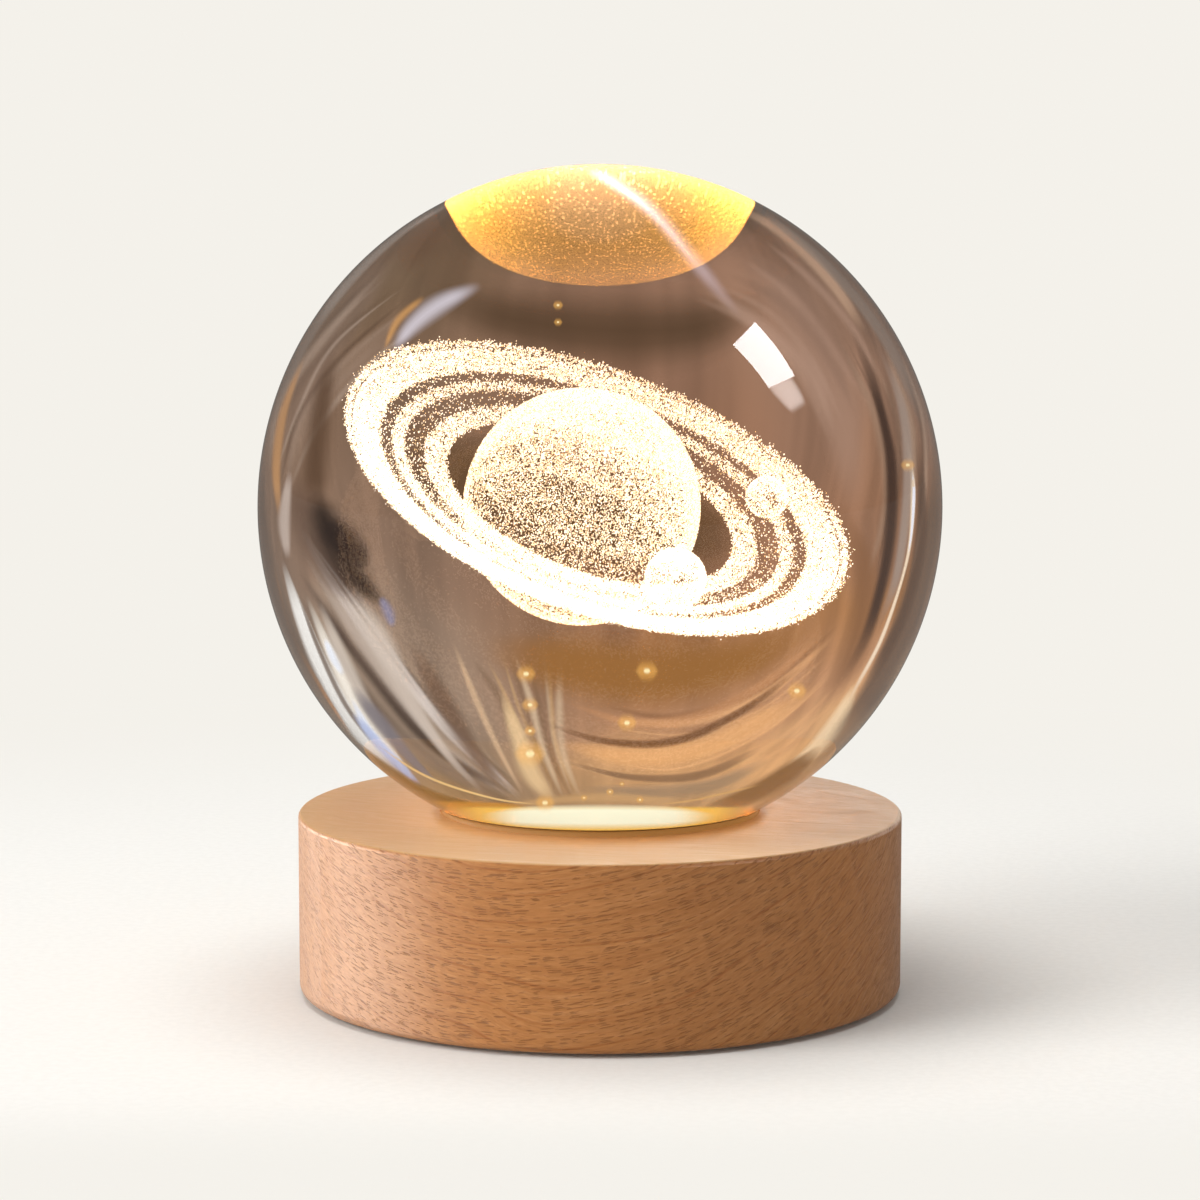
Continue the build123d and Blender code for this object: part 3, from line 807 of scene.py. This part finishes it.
# Painted light, shade and glints that the ball shows through itself
SHOWN = {
    "upper_left_streak": ([(392, 352, 4), (412, 326, 12), (440, 304, 14), (482, 284, 6)],
        (214, 206, 214), 0.85, 0.0),
    "upper_left_warm": ([(384, 350, 2), (398, 320, 6), (425, 296, 4)], (226, 166, 98), 0.6, 0.0),
    "left_brown": ([(300, 470, 16), (306, 520, 26), (330, 570, 22), (372, 610, 10)], (92, 70, 58), 0.7, 0.2),
    "left_dark": ([(312, 486, 8), (320, 510, 22), (332, 536, 30), (348, 566, 26), (370, 592, 14),
        (394, 608, 4)], (30, 20, 15), 0.95, 0.0),
    "left_dark_lobe": ([(318, 518, 8), (338, 536, 22), (356, 552, 18), (366, 572, 6)],
        (30, 20, 18), 0.85, 0.2),
    "blue_spot": ([(380, 596, 4), (388, 612, 9), (393, 628, 4)], (134, 134, 164), 0.75, 0.0),
    "left_dark_upper": ([(336, 350, 8), (324, 392, 15), (318, 436, 20), (314, 476, 22), (320, 506, 12)],
        (90, 67, 50), 0.9, 0.1),
    "left_bright": ([(282, 560, 2), (300, 616, 7), (326, 678, 10), (364, 738, 9), (408, 784, 3)],
        (255, 252, 246), 1.0, 0.55),
    "left_bright_middle": ([(306, 596, 2), (330, 652, 7), (356, 704, 9), (386, 746, 6), (412, 774, 2)],
        (255, 246, 232), 0.95, 0.3),
    "left_glint": ([(324, 638, 2), (333, 657, 6), (344, 676, 3)], (244, 247, 255), 1.0, 0.3),
    "left_glint_low": ([(350, 696, 2), (366, 726, 5), (384, 748, 4), (402, 762, 2)],
        (238, 243, 255), 1.0, 0.3),
    "left_gap": ([(296, 590, 1), (318, 648, 3), (346, 706, 3.5), (382, 754, 2)], (104, 82, 66), 0.85, 0.3),
    "left_bright_inner": ([(318, 600, 3), (342, 656, 9), (370, 712, 8), (402, 762, 3)],
        (214, 200, 186), 0.8, 0.2),
    "left_rim_warm": ([(304, 356, 3), (284, 408, 6), (276, 466, 6), (280, 520, 3)], (202, 150, 98), 0.9, 0.3),
    "left_rim_cold": ([(290, 470, 3), (284, 520, 8), (288, 560, 3)], (204, 186, 174), 0.8, 0.3),
    "upper_left_light": ([(455, 200, 3), (400, 230, 7), (350, 278, 7), (312, 330, 4)],
        (210, 196, 184), 0.85, 0.3),
    "upper_right_light": ([(735, 206, 3), (785, 234, 8), (832, 282, 8), (866, 334, 4)],
        (196, 160, 132), 0.8, 0.3),
    "right_lower_shade": ([(836, 500, 10), (864, 570, 18), (860, 640, 20), (824, 700, 12)],
        (132, 92, 62), 0.65, 0.2),
    "left_rim_dark": ([(262, 430, 2), (259, 500, 4), (268, 580, 4), (292, 650, 3)], (74, 60, 52), 0.9, 0.3),
    "left_blue_shade": ([(350, 684, 4), (378, 720, 10), (412, 760, 6), (440, 786, 2)],
        (122, 116, 122), 0.9, 0.3),
    "left_blue": ([(352, 712, 3), (384, 750, 7), (422, 788, 3)], (190, 204, 242), 0.9, 0.3),
    "left_warm_line": ([(272, 560, 1.5), (290, 630, 2.5), (322, 690, 2.5), (352, 736, 1.5)],
        (214, 150, 92), 0.9, 0.3),
    "rim_left": ([(264, 400, 4), (258, 460, 8), (260, 520, 10), (272, 590, 12), (300, 660, 11),
        (346, 734, 7)], (104, 88, 76), 0.95, 0.5),
    "diagonal_light": ([(345, 585, 8), (376, 636, 18), (404, 690, 12), (442, 748, 6), (484, 794, 3)],
        (206, 190, 176), 0.85, 0.25),
    "diagonal_shade": ([(410, 640, 6), (442, 700, 15), (474, 752, 11), (510, 794, 4)],
        (112, 86, 68), 0.9, 0.25),
    "diagonal_edge": ([(452, 640, 2), (476, 700, 5), (500, 752, 4), (524, 796, 2)],
        (206, 172, 138), 0.8, 0.2),
    "pale_column": ([(500, 690, 3), (518, 736, 12), (532, 774, 14), (556, 803, 5)],
        (226, 192, 146), 0.9, 0.2),
    "golden_middle": ([(480, 646, 16), (560, 664, 38), (650, 674, 40), (740, 662, 28), (810, 626, 10)],
        (148, 100, 50), 0.95, 0.25),
    "wave_light": ([(556, 742, 5), (620, 756, 12), (690, 752, 16), (760, 722, 15), (820, 686, 6)],
        (226, 168, 112), 0.85, 0.3),
    "wave_dark": ([(540, 722, 2), (610, 742, 5), (680, 740, 6), (750, 706, 5), (812, 658, 2)],
        (112, 74, 46), 0.9, 0.3),
    "wave_upper": ([(560, 700, 2), (630, 722, 6), (700, 716, 8), (770, 680, 6), (826, 630, 2)],
        (196, 140, 96), 0.6, 0.3),
    "wave_dark_lower": ([(566, 762, 1.5), (630, 777, 4), (700, 775, 6), (766, 746, 3)],
        (120, 92, 70), 0.8, 0.4),
    "lower_grey": ([(580, 788, 4), (650, 792, 9), (716, 784, 9), (770, 758, 5)], (148, 126, 102), 0.75, 0.3),
    "lower_right_light": ([(782, 772, 2), (814, 750, 9), (840, 718, 10), (857, 682, 3)],
        (246, 214, 172), 1.0, 0.5),
    "rim_right": ([(936, 420, 4), (936, 500, 10), (926, 570, 16), (902, 650, 20), (862, 712, 17),
        (812, 768, 6)], (106, 86, 70), 1.0, 0.45),
    "rim_right_line": ([(903, 420, 1.5), (910, 459, 2.5), (913, 492, 3.5), (911, 536, 2.5),
        (903, 576, 2), (882, 638, 2.5), (858, 684, 2.5), (846, 706, 1.5)], (250, 226, 196), 1.0, 0.3),
    "rim_right_glint": ([(912, 470, 0.8), (914, 492, 2), (912, 530, 1.5), (908, 556, 0.8)],
        (246, 246, 255), 1.0, 0.4),
    "rim_right_dark": ([(916, 430, 3), (922, 490, 6), (921, 545, 8), (906, 608, 8), (884, 656, 8),
        (860, 698, 4)], (84, 66, 54), 0.9, 0.3),
    "right_dark_curve": ([(846, 318, 3), (870, 374, 6), (885, 426, 7), (892, 472, 9), (891, 528, 9),
        (881, 588, 8), (864, 642, 7), (838, 686, 4)], (66, 50, 42), 1.0, 0.3),
    "right_light_curve": ([(878, 346, 2), (901, 402, 6), (908, 459, 7), (905, 520, 6), (896, 580, 6),
        (876, 632, 3)], (158, 140, 128), 0.9, 0.3),
    "rim_upper_right": ([(735, 192, 2), (820, 258, 6), (886, 340, 7), (926, 430, 6)],
        (138, 126, 116), 0.7, 0.4),
    "rim_upper_left": ([(455, 192, 2), (372, 256, 6), (306, 340, 7), (268, 430, 6)],
        (138, 126, 116), 0.7, 0.4),
    "olive_left": ([(346, 736, 3), (390, 776, 10), (436, 800, 9), (500, 812, 4)], (118, 84, 26), 1.0, 0.6),
    "olive_middle": ([(500, 806, 3), (560, 800, 6), (620, 798, 7), (700, 804, 3)], (196, 156, 108), 0.7, 0.2),
    "olive_right": ([(700, 811, 4), (750, 795, 11), (790, 772, 11), (824, 744, 2)], (122, 90, 58), 0.95, 0.5),
    "foot_gold": ([(418, 802, 2), (452, 805, 5), (490, 806, 5), (530, 806, 2)], (196, 134, 44), 0.9, 0.3),
    "thin_line_left": ([(376, 744, 0.8), (414, 770, 1.5), (450, 786, 1.5), (500, 800, 1.2),
        (545, 805, 0.8)], (240, 200, 134), 0.9, 0.5),
    "thin_line_right": ([(655, 805, 0.8), (690, 801, 1.2), (722, 794, 1.5), (765, 784, 0.8)],
        (220, 172, 108), 0.6, 0.5),
    "crescent": ([(434, 813, 6), (470, 817, 11), (520, 820, 14), (597, 821, 15), (676, 820, 14),
        (726, 817, 11), (760, 812, 6)], (250, 198, 88), 1.0, 0.85),
    "crescent_core": ([(478, 817, 3), (508, 817, 9), (545, 817, 12), (597, 817, 13), (650, 817, 12),
        (688, 817, 9), (718, 817, 3)], (255, 255, 224), 1.0, 0.5),
}
# Fans of fine painted streaks of light and shade between two borders: the borders, how many, their tones, how
# much they cover, and their half width
FANS = {
    "left_streaks": (
        [(300, 500), (372, 610), (452, 720), (524, 796)],
        [(300, 600), (356, 690), (424, 756), (512, 802)],
        15, [(222, 208, 198), (84, 66, 56), (160, 138, 118), (58, 44, 36)], 0.95, 4.5),
    "upper_left_streaks": (
        [(262, 470), (272, 400), (312, 330), (380, 262)],
        [(292, 500), (318, 430), (366, 372), (430, 320)],
        10, [(166, 142, 124), (78, 58, 46), (198, 176, 158)], 0.8, 4.0),
    "middle_streaks": (
        [(470, 660), (500, 704), (524, 752), (546, 800)],
        [(560, 640), (560, 700), (566, 752), (584, 800)],
        9, [(210, 168, 116), (104, 76, 50), (236, 210, 176)], 0.8, 4.0),
    "right_streaks": (
        [(836, 330), (872, 410), (880, 500), (862, 590)],
        [(904, 350), (926, 430), (928, 510), (910, 600)],
        9, [(202, 172, 148), (92, 70, 56), (164, 136, 114)], 0.8, 3.5),
    "upper_right_streaks": (
        [(760, 240), (810, 280), (850, 330), (880, 390)],
        [(690, 300), (750, 330), (800, 380), (830, 450)],
        7, [(184, 150, 130), (116, 90, 76)], 0.6, 7.0),
    "wave_streaks": (
        [(600, 700), (680, 712), (760, 684), (836, 624)],
        [(590, 790), (680, 792), (770, 760), (850, 690)],
        8, [(230, 174, 122), (124, 84, 54), (190, 140, 98)], 0.8, 3.5),
}
# Painted glints, small bright spots: (x, y, radius)
SPARKS = [
    (526, 674, 3.5), (530, 705, 3), (530, 731, 2.2), (530, 754, 5.5), (647, 671, 4), (627, 723, 3.5),
    (797, 691, 3.5), (558, 305, 1.8), (558, 322, 1.5), (908, 465, 2.5), (610, 792, 1.4), (640, 800, 1.4),
    (584, 798, 1.2), (622, 784, 1.0), (545, 803, 3.5)]
SPARK_TONE = (255, 232, 176)
SPARK_HALO = (255, 190, 96)
MIRROR_SHARE = 0.045        # of light that the ball's surface mirrors
CLEAR_SHARE = 0.9           # of light that passes both surfaces
SHAPE_REACH = 0.62          # from the ball to the first shape
SHAPE_STEP = 0.002          # how much nearer each next shape is
MAT_GAP = 0.4 * MM          # from the mat to the first shape that lies over it
MAT_STEP = 0.025            # rise of the next ones, as a share of their step
SHAPE_PARTS, LANES = 30, 9  # faces along a shape, and points across it
END_FADE = 0.25             # share of a shape's length over which its ends fade
RIM_FADE = (0.985, 0.999)   # shares of the ball's radius between which the shapes fade out
LAST_RIM = 0.998            # farthest share of the radius that a ray is followed from


def to_linear(value):
    """An sRGB value, 0 to 255, as an amount of light."""
    share = value / 255
    return share / 12.92 if share <= 0.04045 else ((share + 0.055) / 1.055) ** 2.4


def as_light(shown, glass):
    """The light that looks like an sRGB colour behind that much glass, or mirrored where glass is None."""
    linear = [to_linear(value) for value in shown]
    if glass is None:
        return [value / MIRROR_SHARE for value in linear]
    passed = [math.exp(-SMOKE_DENSITY * (1 - tint) * glass) * CLEAR_SHARE for tint in SMOKE[:3]]
    return [value / share for value, share in zip(linear, passed)]


def curve_at(knots, step):
    """A smooth curve through the knots, at a step between them."""
    k = min(int(step), len(knots) - 2)
    t = step - k
    before, a, b, after = knots[max(k - 1, 0)], knots[k], knots[k + 1], knots[min(k + 2, len(knots) - 1)]
    return 0.5 * (2 * a + (b - before) * t + (2 * before - 5 * a + 4 * b - after) * t**2
                  + (3 * a - 3 * b + after - before) * t**3)


def soft_card(name, shapes, find, **kinds):
    """Ribbons that fade at their edges. find gives the place for a pixel, and the glass in front of it."""
    vertices, faces, lights, covers = [], [], [], []
    for order, (points, tone, cover, full) in enumerate(shapes):
        reach = SHAPE_REACH - SHAPE_STEP * order
        knots = np.array(points, dtype=float)
        steps = np.linspace(0, len(points) - 1, SHAPE_PARTS + 1)
        smooth = np.array([curve_at(knots, step) for step in steps])
        ahead = np.gradient(smooth[:, :2], axis=0)
        ahead /= np.linalg.norm(ahead, axis=1)[:, None] + 1e-9
        first = len(vertices)
        for part, ((x, y, half), (dx, dy)) in enumerate(zip(smooth, ahead)):
            end = min(part, SHAPE_PARTS - part) / SHAPE_PARTS
            for lane in range(LANES):
                across = 2 * lane / (LANES - 1) - 1
                pixel = (x - dy * across * half, y + dx * across * half)
                place_at, glass = find(pixel, reach)
                vertices.append(place_at)
                lights.append([*as_light(tone, glass), 1.0])
                soft = (1 - smooth_step(abs(across), full, 1.0)) * smooth_step(end, 0, END_FADE)
                covers.append(float(cover * soft * (1 - smooth_step(rim_share(pixel), *RIM_FADE))))
        for part in range(SHAPE_PARTS):
            for lane in range(LANES - 1):
                a = first + part * LANES + lane
                faces.append((a, a + 1, a + LANES + 1, a + LANES))
    made, tree, glow = emitter(name + "_light", (1, 1, 1), 1.0)
    tree.put(tree.add("ShaderNodeAttribute", attribute_name="light").outputs["Color"], glow.inputs["Color"])
    cover = tree.add("ShaderNodeAttribute", attribute_name="cover").outputs["Fac"]
    tree.blend(cover, tree.add("ShaderNodeBsdfTransparent"), glow)
    card = add_object(name, vertices, faces, [made])
    card.data.attributes.new("light", "FLOAT_COLOR", "POINT").data.foreach_set("color", np.ravel(lights))
    card.data.attributes.new("cover", "FLOAT", "POINT").data.foreach_set("value", covers)
    seen_by(card, **kinds)


def fan_shapes(rng):
    """Fine streaks that run side by side between two borders."""
    made = []
    for start, end, count, tones, cover, half in FANS.values():
        start, end = np.array(start, dtype=float), np.array(end, dtype=float)
        for streak in range(count):
            share = (streak + rng.uniform(0.1, 0.9)) / count
            spine = start + (end - start) * share + rng.normal(0, 2.5, start.shape)
            widths = half * rng.uniform(0.6, 2.2) * np.array([0.3] + [1.0] * (len(spine) - 2) + [0.3])
            tone = tones[rng.integers(len(tones))]
            made.append((np.column_stack([spine, widths]), tone, cover * rng.uniform(0.3, 0.9), 0.0))
    return made


def spark_shapes():
    """A painted glint, a small bright spot and its halo, at each place."""
    made = []
    for x, y, radius in SPARKS:
        for reach, tone, cover in ((3.2 * radius, SPARK_HALO, 0.45), (radius, SPARK_TONE, 1.0)):
            # A round outline: the half width at the ends, half way and in the middle
            tip, wide = 0.05, reach * 0.87
            points = [(x - reach, y, tip), (x - 0.5 * reach, y, wide), (x, y, reach),
                      (x + 0.5 * reach, y, wide), (x + reach, y, tip)]
            made.append((points, tone, cover, 0.1))
    return made


def make_shapes():
    """The painted streaks, light, shade and glints behind the ball, which only the glass shows."""
    rng = np.random.default_rng(77)
    shapes = [*WASHES.values(), *fan_shapes(rng), *SHOWN.values(), *spark_shapes()]
    soft_card("shown_shapes", shapes, shown_place, transmission=True)


def make_camera():
    """The camera that took the photograph."""
    data = bpy.data.cameras.new("camera")
    made = put_in_scene("camera", data)
    made.location, forward, _, _ = camera_axes()
    turn_to(made, forward)
    data.sensor_width = SENSOR
    data.lens = SENSOR * FOCAL_PIXELS / FRAME_PIXELS
    data.clip_start = 0.01
    bpy.context.scene.camera = made


def dress_nodes():
    """Materials of the nodes that stay as the CAD's own meshes."""
    black = moulded("black_moulding", (0.022, 0.021, 0.020), 0.48)
    screws = metal("screw_metal", (0.62, 0.61, 0.58), 0.28)
    chips = moulded("chip_epoxy", (0.02, 0.02, 0.022), 0.55, 0.1, 0.01)
    dress(black, "bottom_cover", "usb_tongue", "rear_panel", "switch_body")
    dress(screws, "led_board_screws", "cover_screws", "control_board_screws")
    dress(chips, "led_resistors", "control_chip")
    dress(beech(), "wood_base")
    plate = [(0.0, (1.0, 0.98, 0.84)), (0.55, (1.0, 0.95, 0.74)), (0.68, (1.0, 0.66, 0.2)),
             (0.86, (0.50, 0.24, 0.05)), (1.0, (0.20, 0.09, 0.02))]
    dress(lit("frosted_plate", plate, 18.9, 1.1, glitter=0.05, base=(0.30, 0.17, 0.08), rough=0.45),
          "light_plate")
    dress(lit("led_phosphor_gel", [(0.0, (1.0, 0.86, 0.45)), (1.0, (1.0, 0.82, 0.38))], 8.0, 2.0,
              base=(0.9, 0.72, 0.2)), "led_phosphors")
    dress(metal("socket_steel_plate", (0.66, 0.66, 0.67), 0.25, (12.0, 1.0, 12.0)), "usb_shell")
    dress(metal("solder_metal", (0.68, 0.68, 0.70), 0.3, (3.0, 3.0, 3.0)), "solder_joints")
    for node, name, colour, *finish in (
            ("reflector_ring", "white_moulding", (0.83, 0.82, 0.79), 0.4),
            ("led_board", "white_solder_mask_paint", (0.80, 0.80, 0.77), 0.35, 0.5, 0.01, 0.05),
            ("led_packages", "led_housing_plastic", (0.78, 0.76, 0.70), 0.35, 0.15, 0.01, 0.05),
            ("rubber_feet", "foot_rubber", (0.035, 0.034, 0.033), 0.75, 0.18, 0.03),
            ("control_board", "green_solder_mask_paint", (0.012, 0.11, 0.045), 0.32, 0.6, 0.01, 0.1),
            ("control_capacitors", "capacitor_ceramic", (0.42, 0.27, 0.15), 0.45, 0.12, 0.01),
            ("push_button", "button_moulding", (0.05, 0.05, 0.05), 0.38, 0.3, 0.01),
            ("lead_red", "lead_red_sleeve", (0.42, 0.02, 0.015), 0.42, 0.4, 0.01),
            ("lead_black", "lead_black_sleeve", (0.02, 0.02, 0.02), 0.42, 0.4, 0.01)):
        dress(moulded(name, colour, *finish), node)


make_camera()
make_world()
make_floor()
make_lamps()
make_cards()
make_surround()
make_shapes()
dress_nodes()
make_ball()
make_engraving()

bpy.context.scene.view_settings.view_transform = "Standard"
